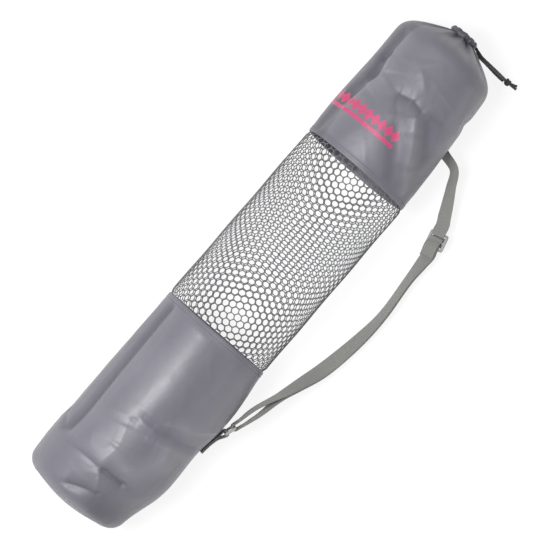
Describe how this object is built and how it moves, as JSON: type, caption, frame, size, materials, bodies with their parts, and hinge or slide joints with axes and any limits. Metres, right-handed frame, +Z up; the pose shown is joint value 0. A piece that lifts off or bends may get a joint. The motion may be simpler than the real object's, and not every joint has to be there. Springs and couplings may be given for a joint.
{
  "type": "yoga mat bag",
  "caption": "Long drawstring bag for a rolled mat, with an open net middle, a gathered mouth and an adjustable webbing shoulder strap, lying on its side.",
  "frame": {"origin": "on the floor under the middle of the bag and its strap, without the drawstring's free ends", "axes": "+X along the bag from its base to its mouth, +Z up, and the shoulder strap lies on the -Y side"},
  "size_m": [0.6804, 0.2056, 0.1371],
  "materials": {
    "nylon": "grey woven nylon with a satin sheen",
    "net": "dark polyester net",
    "webbing": "matte woven polypropylene webbing",
    "fittings": "moulded grey plastic, semi-gloss",
    "cord": "dark braided polyester cord"
  },
  "bodies": {
    "root": {"base_panel": "nylon", "bottom_panel": "nylon", "net_panel": "net", "top_panel": "nylon", "ring_tab": "webbing", "strap_ring": "fittings", "shoulder_strap": "webbing", "strap_slider": "fittings", "drawstring_1": "cord", "drawstring_2": "cord", "drawstring_knot": "cord"}
  },
  "joints": []
}
